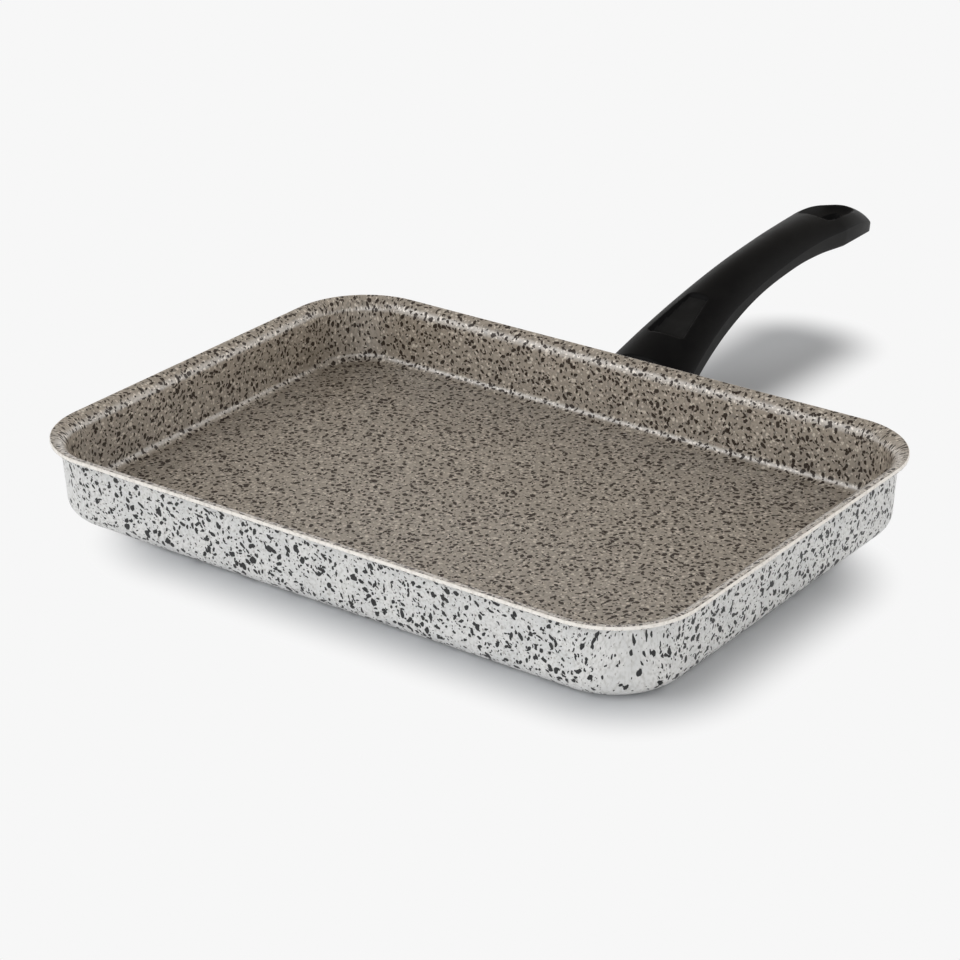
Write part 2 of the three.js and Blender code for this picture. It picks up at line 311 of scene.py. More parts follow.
@dataclass(frozen=True)
class Chips:
    """One size of paint chip scattered in a speckled coat. Lengths are those on the flat sheet."""

    colour: Colour
    spacing: float
    least: float  # half-length of the smallest chip
    most: float  # half-length of the largest chip
    share: float  # of the places that hold a chip
    stretch: float  # the slimmest chip's length over its width
    ragged: float  # how far an outline wanders
    shift: float  # keeps this size's places apart from the other sizes'
    cover: float = 1.0  # how much of the coat under it a chip hides
    matt: float = 0.0  # how much of the clear layer's gloss a chip lacks
    plump: float = 1.0  # the plumpest chip's length over its width
    wave: float = 0.0014  # length of the waves in an outline
    soft: float = 0.00012  # half the width of a chip's blurred edge
    patch: float = 0.0  # how far the chips thin out in the coat's clean patches
    patch_size: float = 0.011
    patch_levels: Pair = (0.38, 0.58)  # noise in a clean patch and in a full one
    corner_loss: float = 0.0  # how far they thin out in the drawn corners

    def odds(self, tree: FinishTree, sheet: Wire, centre: Wire) -> Value:
        """How many of the places near a chip's place hold a chip.

        Args:
            tree: The coat's nodes.
            sheet: Where the shaded point lay on the flat sheet.
            centre: The chip's place.

        Returns:
            The share.
        """
        share: Value = self.share
        if self.patch:
            strewn = tree.noise(centre, self.patch_size, 1.0, True)["Fac"].ramp(*self.patch_levels)
            share = strewn * (self.patch * self.share) + (1 - self.patch) * self.share
        if self.corner_loss:
            share = share * (1 - tree.parts(sheet)["Z"] * self.corner_loss)
        return share

    def mask(self, tree: FinishTree, sheet: Wire) -> Wire:
        """Where these chips lie.

        Args:
            tree: The coat's nodes.
            sheet: Where the shaded point lay on the flat sheet.

        Returns:
            1 inside a chip and 0 outside, times its cover.
        """
        moved = tree.vector("ADD", sheet, (self.shift, -self.shift, 0))
        waves = tree.noise(moved, self.wave, 2.0, True)["Color"]
        wander = tree.vector("SUBTRACT", waves, (0.5, 0.5, 0.5))
        reach = (2 * self.ragged, 2 * self.ragged, 0)
        at = tree.vector("ADD", moved, tree.vector("MULTIPLY", wander, reach))
        settings = {"voronoi_dimensions": "2D"}
        cell = tree.node("ShaderNodeTexVoronoi", settings, {"Vector": at, "Scale": 1 / self.spacing})
        centre = cell["Position"]
        draw = tree.node("ShaderNodeSeparateColor", {}, {0: cell["Color"]})
        turned = tree.node("ShaderNodeVectorRotate", {"rotation_type": "Z_AXIS"}, {
            "Vector": tree.vector("SUBTRACT", at, centre),
            "Angle": draw["Red"] * (2 * math.pi),
        })["Vector"]
        narrow = self.plump + draw["Green"] * (self.stretch - self.plump)
        scale = tree.node("ShaderNodeCombineXYZ", {}, {"X": 1.0, "Y": narrow, "Z": 0.0})["Vector"]
        distance = tree.length(tree.vector("MULTIPLY", turned, scale))
        half = self.least + draw["Blue"] * draw["Blue"] * (self.most - self.least)
        lot = tree.node("ShaderNodeTexWhiteNoise", {"noise_dimensions": "2D"}, {"Vector": centre})["Value"]
        inside = (half - distance).ramp(-self.soft, self.soft)
        return inside * (lot < self.odds(tree, sheet, centre)) * self.cover


@dataclass(frozen=True)
class Finish:
    """The looks of one material, made with a Principled shader."""

    name: str

    def inputs(self, tree: FinishTree) -> dict[str, Any]:
        """The value or wire of each of the shader's inputs, which every finish makes in its own way."""
        raise NotImplementedError

    def build(self) -> bpy.types.Material:
        """Makes the material.

        Returns:
            The material.
        """
        material = bpy.data.materials.new(self.name)
        tree = FinishTree(material)
        shader = tree.node("ShaderNodeBsdfPrincipled", {}, self.inputs(tree))[0]
        tree.node("ShaderNodeOutputMaterial", {}, {"Surface": shader})
        return material


@dataclass(frozen=True)
class SpeckledCoat(Finish):
    """A satin speckled coat, sprayed on the flat sheet and drawn into shape with it."""

    ground: Colour
    cloud: Colour
    mottle: Colour
    gloss_index: float  # refractive index of its clear top layer
    chips: tuple[Chips, ...]
    roughness: float = 0.36
    under_index: float = 1.25
    under_roughness: float = 0.5
    swing: float = 0.1  # of the roughness with the grain
    cloud_size: float = 0.012
    cloud_levels: Pair = (0.35, 0.7)
    mottle_size: float = 0.0016
    mottle_levels: Pair = (0.4, 0.75)
    grain_size: float = 0.0007
    grain_share: float = 0.5  # of the relief, which the chips give the rest of
    relief: float = 0.00004

    def inputs(self, tree: FinishTree) -> dict[str, Any]:
        """Lays the ground and then the chips, size by size.

        Args:
            tree: The material's nodes.

        Returns:
            The shader's inputs.
        """
        sheet = tree.sheet()
        cloud = tree.noise(sheet, self.cloud_size, 3.0, True)["Fac"].ramp(*self.cloud_levels)
        mottle = tree.noise(sheet, self.mottle_size, 3.0, True)["Fac"].ramp(*self.mottle_levels)
        colour = tree.mix(mottle, tree.mix(cloud, self.ground, self.cloud), self.mottle)
        masks = [chips.mask(tree, sheet) for chips in self.chips]
        for chips, mask in zip(self.chips, masks):
            colour = tree.mix(mask, colour, chips.colour)
        covered = reduce(Wire.most, masks)
        glosses = [1 - mask * chips.matt for chips, mask in zip(self.chips, masks) if chips.matt]
        grain = tree.noise(tree.place(), self.grain_size, 2.0)["Fac"]
        height = grain * self.grain_share + covered * (1 - self.grain_share)
        return {
            "Base Color": colour,
            "Roughness": self.under_roughness + (grain - 0.5) * self.swing,
            "IOR": self.under_index,
            "Coat Weight": reduce(mul, glosses),
            "Coat Roughness": self.roughness,
            "Coat IOR": self.gloss_index,
            "Normal": tree.bump(height, self.relief),
        }


@dataclass(frozen=True)
class BareEdge(Finish):
    """The lip's trimmed edge, where the sheet shows pale under the coats."""

    name: str = "trimmed_edge"
    colour: Colour = srgb(226, 222, 216)
    worn: Colour = srgb(204, 199, 192)
    worn_levels: Pair = (0.45, 0.75)
    roughness: float = 0.42
    swing: float = 0.2
    metal: float = 0.15
    mark_size: float = 0.0016
    relief: float = 0.00003

    def inputs(self, tree: FinishTree) -> dict[str, Any]:
        """Marks the metal.

        Args:
            tree: The material's nodes.

        Returns:
            The shader's inputs.
        """
        marks = tree.noise(tree.place(), self.mark_size, 3.0)["Fac"]
        return {
            "Base Color": tree.mix(marks.ramp(*self.worn_levels), self.colour, self.worn),
            "Roughness": self.roughness + (marks - 0.5) * self.swing,
            "Metallic": self.metal,
            "Normal": tree.bump(marks, self.relief),
        }


@dataclass(frozen=True)
class BlackPhenolic(Finish):
    """The handle's moulded black resin, with a fine matt grain, and sides and underside painted paler as a
    painted reflection.
    """

    name: str = "black_phenolic"
    colour: Colour = srgb(5, 5, 6)
    bloom: Colour = srgb(11, 11, 11)
    bloom_levels: Pair = (0.4, 0.75)
    side: Colour = srgb(33, 33, 33)  # painted reflection of the white floor, on faces that look sideways or down
    painted_sheen_levels: Pair = (0.2, 0.4)  # how far up a face looks where the painted reflection gives way to the top
    roughness: float = 0.55
    bloom_swing: float = 0.16
    grain_swing: float = 0.1
    shine: float = 0.075
    grain_size: float = 0.0005
    bloom_size: float = 0.009
    relief: float = 0.00005

    def inputs(self, tree: FinishTree) -> dict[str, Any]:
        """Gives the resin its bloom, its painted reflection on the sides and its grain.

        Args:
            tree: The material's nodes.

        Returns:
            The shader's inputs.
        """
        place = tree.place()
        grain = tree.noise(place, self.grain_size, 2.0)["Fac"]
        bloom = tree.noise(place, self.bloom_size, 4.0)["Fac"]
        up = tree.parts(tree.node("ShaderNodeNewGeometry", {}, {})["Normal"])["Z"]
        top = tree.mix(bloom.ramp(*self.bloom_levels), self.colour, self.bloom)
        rough = self.roughness + (bloom - 0.5) * self.bloom_swing
        return {
            # painted reflection: faces that look sideways or down get the paler side colour
            "Base Color": tree.mix(up.ramp(*self.painted_sheen_levels), self.side, top),
            "Roughness": rough + (grain - 0.5) * self.grain_swing,
            "Specular IOR Level": self.shine,
            "Normal": tree.bump(grain, self.relief),
        }


@dataclass(frozen=True)
class WorkedMetal(Finish):
    """Bare metal with the streaks that its tool left along one direction."""

    colour: Colour
    streak: Colour
    roughness: float
    streak_size: Triple  # one streak's size along X, Y and Z
    streak_levels: Pair = (0.35, 0.7)
    swing: float = 0.25
    relief: float = 0.00002

    def inputs(self, tree: FinishTree) -> dict[str, Any]:
        """Streaks the metal.

        Args:
            tree: The material's nodes.

        Returns:
            The shader's inputs.
        """
        scale = tuple(1 / size for size in self.streak_size)
        streaks = tree.noise(tree.vector("MULTIPLY", tree.place(), scale), 1.0, 3.0)["Fac"]
        return {
            "Base Color": tree.mix(streaks.ramp(*self.streak_levels), self.colour, self.streak),
            "Roughness": self.roughness + (streaks - 0.5) * self.swing,
            "Metallic": 1.0,
            "Normal": tree.bump(streaks, self.relief),
        }


class Form:
    """A mesh in the making, in the part's own frame."""

    def __init__(self) -> None:
        """Starts empty."""
        self.mesh = bmesh.new()

    @classmethod
    def lofted(cls, rings: Sequence[Ring], looped: bool = False, zones: Sequence[int] = ()) -> "Form":
        """Skins a row of rings that all have the same number of points.

        Args:
            rings: The closed rings, in order.
            looped: Whether the last ring joins the first. An open row gets a flat face at each end.
            zones: The material number of each strip, or nothing where there is one material.

        Returns:
            The skinned form.
        """
        form = cls()
        rows = [[form.mesh.verts.new(point) for point in ring] for ring in rings]
        strips = zip(rows, rows[1:] + rows[:looped])
        for number, (near, far) in enumerate(strips):
            for i in range(len(near)):
                face = form.mesh.faces.new((near[i - 1], near[i], far[i], far[i - 1]))
                face.material_index = zones[number] if zones else 0
        if not looped:
            for end in (0, -1):
                form.mesh.faces.new(rows[end]).material_index = zones[end] if zones else 0
        bmesh.ops.recalc_face_normals(form.mesh, faces=form.mesh.faces[:])
        return form

    def object(self, name: str) -> bpy.types.Object:
        """Links the mesh to the scene as an object.

        Args:
            name: The object's name.

        Returns:
            The object.
        """
        data = bpy.data.meshes.new(name)
        self.mesh.to_mesh(data)
        self.mesh.free()
        made = bpy.data.objects.new(name, data)
        bpy.context.scene.collection.objects.link(made)
        return made

    def carved(self, cutters: Sequence["Form"]) -> "Form":
        """Takes other forms away from this one.

        Args:
            cutters: What is taken away.

        Returns:
            The form that is left.
        """
        body = self.object("body")
        tools = [cutter.object("cutter") for cutter in cutters]
        for tool in tools:
            cut = body.modifiers.new("cut", "BOOLEAN")
            cut.operation = "DIFFERENCE"
            cut.solver = "EXACT"
            cut.object = tool
        left = Form()
        shaped = body.evaluated_get(bpy.context.evaluated_depsgraph_get())
        left.mesh.from_mesh(shaped.data)
        for used in [body, *tools]:
            bpy.data.objects.remove(used)
        return left

    def piece(self, node: str, name: str, slot: str, *finishes: bpy.types.Material) -> bpy.types.Object:
        """Finishes the form as the piece that stands for a CAD node.

        Args:
            node: The node that it replaces.
            name: The piece's name.
            slot: The record's material slot, which is not used.
            finishes: Its materials, in the order of its zones.

        Returns:
            The piece.
        """
        for face in self.mesh.faces:
            face.smooth = True
        for edge in self.mesh.edges:
            edge.smooth = edge.calc_face_angle(0.0) < CREASE
        made = self.object(name)
        for finish in finishes:
            made.data.materials.append(finish)
        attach(made, ROOT_BODY)
        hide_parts(node)
        return made


@dataclass
class Neck:
    """The boss neck that guard and handle slide over, and what the fittings on its axis share."""

    width: float = 0.020
    height: float = 0.012
    corner: float = 0.0025
    room: float = 0.0003  # air round a piece that goes through another
    guard_sheet: float = 0.0008  # the guard's thickness, between the boss's shoulder and the handle
    screw_hole: float = 0.0056
    pitch: float = 0.0008  # of the screw's thread
    thread_rings: int = 8  # sections in one turn of the thread
    steps: int = 8
    round_steps: int = 40
    axis_height: float = field(init=False)

    def __post_init__(self) -> None:
        """Reads the axis from the frame."""
        low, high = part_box("handle_screw")
        self.axis_height = (low.z + high.z) / 2

    def outline(self, grow: float = 0.0) -> Outline:
        """The neck's outline, grown by a distance."""
        size = (self.width + 2 * grow, self.height + 2 * grow)
        return rounded_rectangle(*size, self.corner + grow, self.steps)

    def block(self, low: Vector, high: Vector, corner: float, inset: float) -> Outline:
        """The outline of a rounded block as wide and tall as a box, drawn in by a distance."""
        size = (high.x - low.x - 2 * inset, high.z - low.z - 2 * inset)
        return rounded_rectangle(*size, corner - inset, self.steps)

    def ring(self, outline: Outline, depth_at: Callable[[float], float]) -> Ring:
        """Stands an outline up across Y, with the Y for each height."""
        return [Vector((x, depth_at(self.axis_height + z), self.axis_height + z)) for x, z in outline]

    def flat_rings(self, levels: Sequence[Level]) -> list[Ring]:
        """Stands outlines up, each at its Y."""
        return [[Vector((x, y, self.axis_height + z)) for x, z in outline] for outline, y in levels]

    def bar(self, outline: Outline, start: float, end: float) -> Form:
        """A bar with that outline along the axis, from one Y to another."""
        return Form.lofted(self.flat_rings([(outline, start), (outline, end)]))

    def turned(self, profile: Outline) -> list[Ring]:
        """The rings of a round piece, from its radius at each Y."""
        return self.flat_rings([(circle(radius, self.round_steps), y) for radius, y in profile])

    def threaded(self, crest: float, core: float, ends: Pair, gain: float = math.inf) -> list[Ring]:
        """The rings of a screw thread.

        Args:
            crest: The radius on the thread's crest.
            core: The radius between the crests.
            ends: The Y where it starts and the Y where it ends.
            gain: How fast the crest rises from the core past the start.

        Returns:
            The rings between the ends.
        """
        start, end = ends
        count = round(abs(end - start) / self.pitch * self.thread_rings)
        levels: list[Level] = []
        for step in range(1, count):
            run = (end - start) * step / count
            top = min(crest, core + abs(run) * gain)
            levels.append((thread(top, core, (start + run) / self.pitch, self.round_steps), start + run))
        return self.flat_rings(levels)


class Zone(Enum):
    """Which finish a strip of the pan wears."""

    OUTSIDE = 0
    EDGE = 1
    INSIDE = 2


class SectionPoint(NamedTuple):
    """One point of the pan's section, and the finish of the strip that starts at it."""

    inset: float
    height: float
    zone: Zone


@dataclass
class PanShell:
    """The drawn pan: speckled inside and out, with a rolled lip and a bare trimmed edge."""

    node: str = "pan_body"
    corner_radius: float = 0.042
    wall: float = 0.003
    floor: float = 0.0055
    taper: float = 0.0012
    base_round: float = 0.010
    floor_round: float = 0.0045
    lip_reach: float = 0.0052
    lip_drop: float = 0.007
    lip_edge: float = 0.002
    edge_round: float = 0.00045
    outer_thinned: float = 0.7
    inner_thinned: float = 0.9
    guide: float = 0.0008  # how far a strip that holds a flat face flat reaches past its round
    corner_steps: int = 28
    round_steps: int = 12
    edge_steps: int = 4
    low: Vector = field(init=False)
    high: Vector = field(init=False)

    def __post_init__(self) -> None:
        """Reads the pan's box from the frame."""
        self.low, self.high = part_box(self.node)

    @property
    def wall_top(self) -> float:
        """Height at which the lip's bend starts."""
        return self.high.z - self.lip_drop

    def back_wall(self, height: float) -> float:
        """The Y of the back wall's outer face at a height."""
        share = (self.wall_top - height) / (self.wall_top - self.base_round)
        return self.high.y - self.lip_reach - self.taper * share

    def behind(self, gap: float) -> Callable[[float], float]:
        """Gives the Y for each height that lies a gap behind the back wall."""
        return lambda height: self.back_wall(height) + gap

    def section(self) -> list[SectionPoint]:
        """The section from the base, up the wall, over the lip and down to the floor.

        Returns:
            Its points, by their inset from the lip's edge.
        """
        foot, top, edge = self.lip_reach + self.taper, self.high.z, self.edge_round
        inner_top, inner_foot = self.lip_reach + self.wall, foot + self.wall
        steps, fine = self.round_steps, self.edge_steps
        under_height, over_height = self.lip_drop - self.lip_edge, self.lip_drop
        under_end, over_end = math.acos(edge / self.lip_reach), math.acos(edge / inner_top)
        base, rise = self.base_round, self.floor + self.floor_round
        outside = [(foot + base + self.guide, 0.0)]
        outside += arc((foot + base, base), (-base, -base), (QUARTER, 0), steps)
        outside += [(foot, base + self.guide), (self.lip_reach, self.wall_top - self.guide)]
        outside += arc((0, self.wall_top), (self.lip_reach, under_height), (0, under_end), steps)
        under_edge = arc((edge, top - self.lip_edge + edge), (-edge, -edge), (QUARTER, 0), fine)
        outside += under_edge[:-1]
        trim = under_edge[-1:] + arc((edge, top - edge), (-edge, edge), (0, QUARTER), fine)
        inside = arc((0, self.wall_top), (inner_top, over_height), (over_end, 0), steps)
        inside += [(inner_top, self.wall_top - self.guide), (inner_foot, rise + self.guide)]
        inside += arc((inner_foot + self.floor_round, rise), (-self.floor_round,) * 2, (0, QUARTER), steps)
        inside += [(inner_foot + self.floor_round + self.guide, self.floor)]
        zones = ((outside, Zone.OUTSIDE), (trim, Zone.EDGE), (inside, Zone.INSIDE))
        return [SectionPoint(*point, zone) for points, zone in zones for point in points]

    def ring(self, inset: float) -> Outline:
        """The rounded rectangle at an inset from the lip's edge."""
        width, depth = self.high.x - self.low.x - 2 * inset, self.high.y - self.low.y - 2 * inset
        return rounded_rectangle(width, depth, self.corner_radius - inset, self.corner_steps)

    def sheet_rows(self, section: Sequence[SectionPoint], thinned: float) -> list[list[Triple]]:
        """Where each ring's points lay on the flat sheet before it was drawn.

        A corner's sheet was stretched up the wall as it was squeezed along it, and it was thinned by that.

        Args:
            section: Points from a flat face up to the lip.
            thinned: The flat sheet's area over the area that it was drawn to in the corners.

        Returns:
            The places, ring by ring, with how far each was drawn in a corner as the third number.
        """
        start = self.corner_radius - section[0].inset
        run, area, rows = 0.0, start * start, []
        corner_x = self.high.x - self.corner_radius
        corner_y = self.high.y - self.corner_radius
        for before, now in zip([section[0], *section], section):
            step = math.dist(before[:2], now[:2])
            run += step
            area += thinned * step * (2 * self.corner_radius - before.inset - now.inset)
            straight, drawn = start + run, math.sqrt(area)
            row: list[Triple] = []
            for index in range(4 * (self.corner_steps + 1)):
                corner, along = divmod(index, self.corner_steps + 1)
                angle = (corner + along / self.corner_steps) * QUARTER
                share = math.sin(2 * angle) ** 2
                reach = straight + (drawn - straight) * share
                side_x = 1 if corner in (0, 3) else -1
                side_y = 1 if corner in (0, 1) else -1
                row.append((side_x * corner_x + reach * math.cos(angle),
                            side_y * corner_y + reach * math.sin(angle),
                            share * min(1.0, run / self.base_round)))
            rows.append(row)
        return rows

    def build(self, finishes: Sequence[bpy.types.Material]) -> bpy.types.Object:
        """Builds and dresses the pan.

        Args:
            finishes: The materials of the zones, in their order.

        Returns:
            The piece.
        """
        section = self.section()
        rings = [[Vector((x, y, point.height)) for x, y in self.ring(point.inset)] for point in section]
        form = Form.lofted(rings, zones=[point.zone.value for point in section])
        outer = [point for point in section if point.zone != Zone.INSIDE]
        inner = [point for point in section if point.zone == Zone.INSIDE]
        places = self.sheet_rows(outer, self.outer_thinned)
        places += self.sheet_rows(inner[::-1], self.inner_thinned)[::-1]
        layer = form.mesh.verts.layers.float_vector.new(SHEET_PLACE)
        flat = [place for row in places for place in row]
        for vertex, place in zip(form.mesh.verts, flat):
            vertex[layer] = place
        return form.piece(self.node, "pan_shell", "coated_aluminium", *finishes)


class Station(NamedTuple):
    """A section along the handle: shares of the grip's width, of the rise and of the thickness."""

    share: float
    width: float
    rise: float
    dome: float
    side: float
    belly: float
    crease: float  # how far short of upright the top meets the sides, in degrees


@dataclass
class HandleGrip:
    """The moulded handle with its thumb rest, hanging hole, socket and screw tunnel."""

    neck: Neck
    node: str = "handle_grip"
    length: float = 0.222
    rise: float = 0.0385
    width: float = 0.0314
    thickness: float = 0.018
    nose_height: float = 0.0114
    side_draft: float = 0.0008
    edge_round: float = 0.0007
    root_round: float = 0.0008
    rest_from: float = 0.021
    rest_to: float = 0.051
    rest_root_half: float = 0.0094
    rest_tail_half: float = 0.0052
    rest_root_depth: float = 0.0042
    rest_tail_depth: float = 0.002
    rest_slope: float = 1.6  # rise over run of the rest's sides
    rest_rim: float = 0.0018
    dish_half: Pair = (0.0118, 0.0195)
    dish_depth: float = 0.009
    dish_power: float = 4.5
    dish_slope: float = 3.0
    dish_rim: float = 0.0010
    hole_from_tip: float = 0.038
    hole_half: Pair = (0.005, 0.010)
    socket_depth: float = 0.0065
    tunnel: float = 0.0106
    stations: tuple[Station, ...] = (
        Station(0, 1.63, 0.305, 0.67, 0.51, 0.2, 18),
        Station(0.12, 1.35, 0.57, 0.6, 0.46, 0.22, 26),
        Station(0.25, 1.13, 0.789, 0.543, 0.43, 0.22, 34),
        Station(0.4, 1.025, 0.96, 0.56, 0.29, 0.25, 34),
        Station(0.57, 1, 1.049, 0.5, 0.3, 0.25, 34),
        Station(0.68, 1.04, 1.064, 0.446, 0.373, 0.25, 34),
        Station(0.78, 1.155, 1.051, 0.417, 0.457, 0.25, 34),
    )
    row_step: float = 0.0006
    least_step: float = 0.0001  # rows that lie closer together are left out
    root_rows: int = 5
    nose_rows: int = 60
    nose_end: float = 0.985
    column_steps: int = 64
    belly_steps: int = 24
    hole_steps: int = 64
    tunnel_steps: int = 48
    root: float = field(init=False)

    def __post_init__(self) -> None:
        """Reads the handle's place from the frame."""
        self.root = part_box(self.node)[0].y

    def measure(self, name: str, share: float) -> float:
        """A station measure at a share of the length, smooth between stations and held past the last.

        Args:
            name: The measure's name.
            share: The share of the length.

        Returns:
            The measure, as a share.
        """
        last = len(self.stations) - 1

        def slope(index: int) -> float:
            """The measure's slope at a station, from its neighbours."""
            before, after = self.stations[max(index - 1, 0)], self.stations[min(index + 1, last)]
            return (getattr(after, name) - getattr(before, name)) / (after.share - before.share)

        upper = max(1, next((i for i, each in enumerate(self.stations) if each.share >= share), last))
        first, second = self.stations[upper - 1], self.stations[upper]
        span = second.share - first.share
        u = clamped((share - first.share) / span)
        return (
            (2 * u**3 - 3 * u**2 + 1) * getattr(first, name)
            + (u**3 - 2 * u**2 + u) * span * slope(upper - 1)
            + (3 * u**2 - 2 * u**3) * getattr(second, name)
            + (u**3 - u**2) * span * slope(upper)
        )

    def crest(self, distance: float) -> float:
        """Height of the crest over the boss axis at a distance from the root."""
        return self.rise * self.measure("rise", distance / self.length)

    def rest_half(self, distance: float) -> float:
        """Half the thumb rest's width at a distance from the root, carried on past its ends."""
        share = clamped((distance - self.rest_from) / (self.rest_to - self.rest_from))
        return self.rest_root_half + (self.rest_tail_half - self.rest_root_half) * share

    def thumb_rest(self, x: float, distance: float) -> float:
        """Height of the thumb rest's tool over the boss axis: a sloping flat with steep sides round it.

        Args:
            x: The place across the handle.
            distance: The distance from the root.

        Returns:
            The height.
        """
        root = self.crest(self.rest_from) - self.rest_root_depth
        tail = self.crest(self.rest_to) - self.rest_tail_depth
        share = (distance - self.rest_from) / (self.rest_to - self.rest_from)
        past = (abs(x) - self.rest_half(distance), self.rest_from - distance, distance - self.rest_to)
        return root + (tail - root) * share + self.rest_slope * sum(max(0.0, each) for each in past)

    def dish(self, x: float, distance: float) -> float:
        """Height of the bowl round the hanging hole over the boss axis.

        Args:
            x: The place across the handle.
            distance: The distance from the root.

        Returns:
            The height.
        """
        middle = self.length - self.hole_from_tip
        power = self.dish_power
        away = (abs(x) / self.dish_half[0], abs(distance - middle) / self.dish_half[1])
        out = away[0] ** power + away[1] ** power
        bowl = self.dish_depth * math.sqrt(max(0.0, 1 - out ** (2 / power)))
        past = self.dish_half[0] * max(0.0, out ** (1 / power) - 1)
        return self.crest(middle) - bowl + self.dish_slope * past

    def ring(self, distance: float) -> Ring:
        """One section across the handle.

        Args:
            distance: The distance from the root.

        Returns:
            The section's points, from the right-hand edge over the top and back along the underside.
        """
        share = distance / self.length
        half = self.width / 2 * self.measure("width", share)
        levels = ("dome", "side", "belly")
        dome, side, belly = (self.thickness * self.measure(name, share) for name in levels)
        crest = self.crest(distance)
        nose_from = self.stations[-1].share
        draw = math.sqrt(1 - max(0.0, (share - nose_from) / (1 - nose_from)) ** 2)
        edge = crest - dome
        across = 2 * (half - self.edge_round)
        columns = [across * (step / self.column_steps - 0.5) for step in range(self.column_steps + 1)]
        crease = math.radians(self.measure("crease", share))
        sine, cosine = math.sin(crease), math.cos(crease)

        def top(x: float) -> float:
            """Height of the top over the boss axis."""
            return edge + dome * (math.sqrt(1 - (x / half * cosine) ** 2) - sine) / (1 - sine)

        outline = [(x, top(x)) for x in reversed(columns)]
        right, left, low = outline[0], outline[-1], edge - self.edge_round
        outline += self.eased(left, (-half, edge), (-half, low))
        belly_half = (half - self.side_draft, belly)
        outline += arc((0, edge - side), belly_half, (math.pi, 2 * math.pi), self.belly_steps)
        outline += self.eased((half, low), (half, edge), right)
        short = self.root_round - math.sqrt(self.root_round**2 - max(0.0, self.root_round - distance) ** 2)
        tall = (dome + side + belly) / 2
        middle = crest - tall
        points: Ring = []
        for number, (x, z) in enumerate(outline):
            x, z = x * (1 - short / half), middle + (z - middle) * (1 - short / tall)
            x, z = x * draw, self.nose_height + (z - self.nose_height) * draw
            if number < len(columns):
                z = lower_of(z, self.thumb_rest(x, distance), self.rest_rim)
                z = lower_of(z, self.dish(x, distance), self.dish_rim)
            points.append(Vector((x, self.root + distance, self.neck.axis_height + z)))
        return points

    @staticmethod
    def eased(start: Pair, corner: Pair, end: Pair) -> Outline:
        """The points between two ends that round off the corner between them.

        Args:
            start: The point before the corner.
            corner: The corner.
            end: The point after it.

        Returns:
            Three points, without the ends.
        """
        points: Outline = []
        for step in (0.25, 0.5, 0.75):
            weights = ((1 - step) ** 2, 2 * step * (1 - step), step**2)
            points.append(tuple(sum(map(mul, weights, each)) for each in zip(start, corner, end)))
        return points

    def rows(self) -> list[float]:
        """The distances from the root at which the handle has a section.

        Returns:
            The distances, finest at the root's rounded edge and on the nose.
        """
        nose = self.stations[-1].share * self.length
        count = round(nose / self.row_step)
        distances = [nose * step / count for step in range(count + 1)]
        for step in range(1, self.root_rows + 1):
            distances.append(self.root_round * (1 - math.cos(QUARTER * step / self.root_rows)))
        for step in range(1, self.nose_rows + 1):
            angle = QUARTER * self.nose_end * step / self.nose_rows
            distances.append(nose + (self.length - nose) * math.sin(angle))
        kept: list[float] = []
        for distance in sorted(distances):
            if not kept or distance - kept[-1] > self.least_step:
                kept.append(distance)
        return kept

    def on_rest(self, at: Vector) -> bool:
        """Whether a point of the surface lies on the thumb rest's flat.

        Args:
            at: The point.

        Returns:
            Whether it does.
        """
        distance = at.y - self.root
        inside = self.rest_from < distance < self.rest_to and abs(at.x) < self.rest_half(distance)
        over = at.z - self.neck.axis_height - self.thumb_rest(at.x, distance)
        return inside and abs(over) < self.rest_rim / 2

    def build(self, finishes: Sequence[bpy.types.Material]) -> bpy.types.Object:
        """Builds and dresses the handle.

        Args:
            finishes: Its resin, and the resin as it is on the thumb rest.

        Returns:
            The piece.
        """
        neck, length = self.neck, self.length
        middle = self.root + length - self.hole_from_tip
        ellipse = arc((0, middle), self.hole_half, (0, 2 * math.pi), self.hole_steps)[:-1]
        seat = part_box("flat_washer")[0].y
        cutters = [
            Form.lofted([[Vector((x, y, z)) for x, y in ellipse] for z in (0.0, length)]),
            neck.bar(neck.outline(neck.room), self.root - length, self.root + self.socket_depth),
            neck.bar(circle(neck.screw_hole / 2, neck.round_steps), self.root, seat + length),
            neck.bar(circle(self.tunnel / 2, self.tunnel_steps), seat, seat + length),
        ]
        form = Form.lofted([self.ring(distance) for distance in self.rows()]).carved(cutters)
        for face in form.mesh.faces:
            face.material_index = int(self.on_rest(face.calc_center_median()))
        return form.piece(self.node, "handle_moulding", "black_phenolic", *finishes)


@dataclass
class FlameGuard:
    """The thin steel cup between the back wall and the handle."""

    neck: Neck
    pan: PanShell
    node: str = "flame_guard"
    corner: float = 0.006
    bend: float = 0.0018  # outer radius where the sides turn into the face
    burr: float = 0.00015
    bend_steps: int = 6

    def build(self, finish: bpy.types.Material) -> bpy.types.Object:
        """Builds and dresses the guard.

        Args:
            finish: Its steel.

        Returns:
            The piece.
        """
        low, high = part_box(self.node)
        neck, burr, sheet, face, bend = self.neck, self.burr, self.neck.guard_sheet, high.y, self.bend
        ends = self.pan.behind(neck.room), self.pan.behind(neck.room + burr)

        def shape(inset: float) -> Outline:
            """The cup's outline, drawn in by a distance."""
            return neck.block(low, high, self.corner, inset)

        def bent(radius: float, turn: Pair) -> list[Level]:
            """The outlines round the bend, at a radius from its middle."""
            points = arc((bend, face - bend), (-radius, radius), turn, self.bend_steps)
            return [(shape(inset), y) for inset, y in points]

        hole, mouth = neck.outline(neck.room), neck.outline(neck.room + burr)
        levels = bent(bend, (0, QUARTER))
        levels += [(mouth, face), (hole, face - burr), (hole, face - sheet)]
        levels += bent(bend - sheet, (QUARTER, 0))
        rings = [neck.ring(shape(burr), ends[0]), neck.ring(shape(0.0), ends[1])]
        rings += neck.flat_rings(levels)
        rings += [neck.ring(shape(sheet), ends[1]), neck.ring(shape(sheet - burr), ends[0])]
        return Form.lofted(rings, looped=True).piece(self.node, "guard_cup", "guard_steel", finish)


